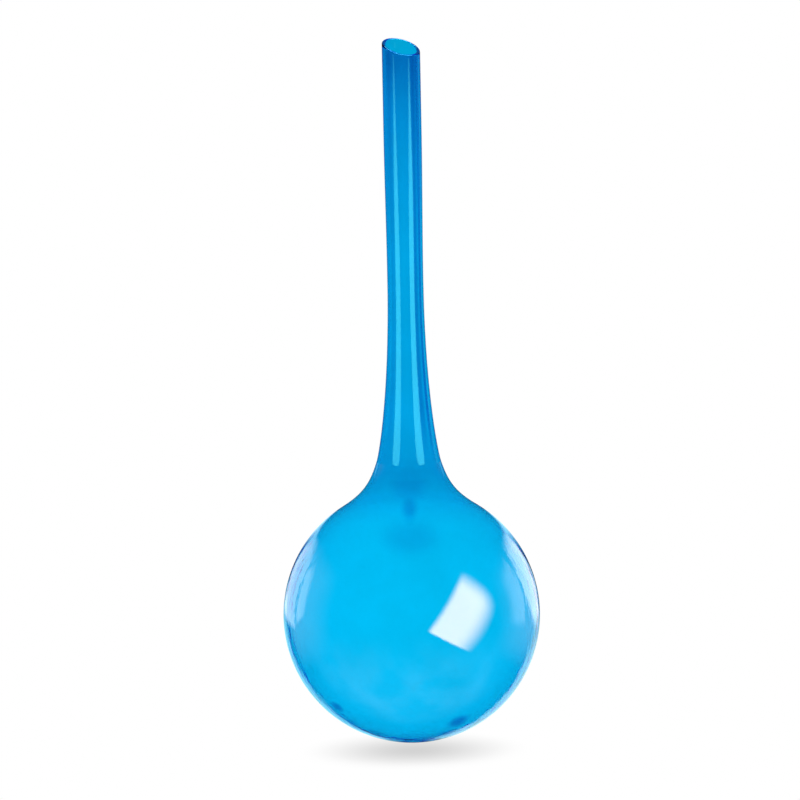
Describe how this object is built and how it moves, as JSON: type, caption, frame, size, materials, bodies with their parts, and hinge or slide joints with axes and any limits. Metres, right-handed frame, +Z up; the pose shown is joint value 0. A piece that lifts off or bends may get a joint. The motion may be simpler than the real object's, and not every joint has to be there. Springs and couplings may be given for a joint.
{
  "type": "watering globe",
  "caption": "Blown see-through blue globe with a flared neck and a slim stem cut on a slant, filled with water and pushed upside down into potting soil",
  "frame": {"origin": "middle of the small flat foot that the globe stands on, on the axis of the stem", "axes": "+Z up along the stem towards the mouth, which slants down towards -Y; X is the slant's level line"},
  "size_m": [0.098, 0.098, 0.269],
  "materials": {
    "bulb_pvc": "blown, clear, glossy",
    "stem_pvc": "drawn, clear, glossy",
    "weld_pvc": "solvent weld, clear"
  },
  "bodies": {
    "root": {"bulb": "bulb_pvc", "stem": "stem_pvc", "neck_weld": "weld_pvc"}
  },
  "joints": []
}
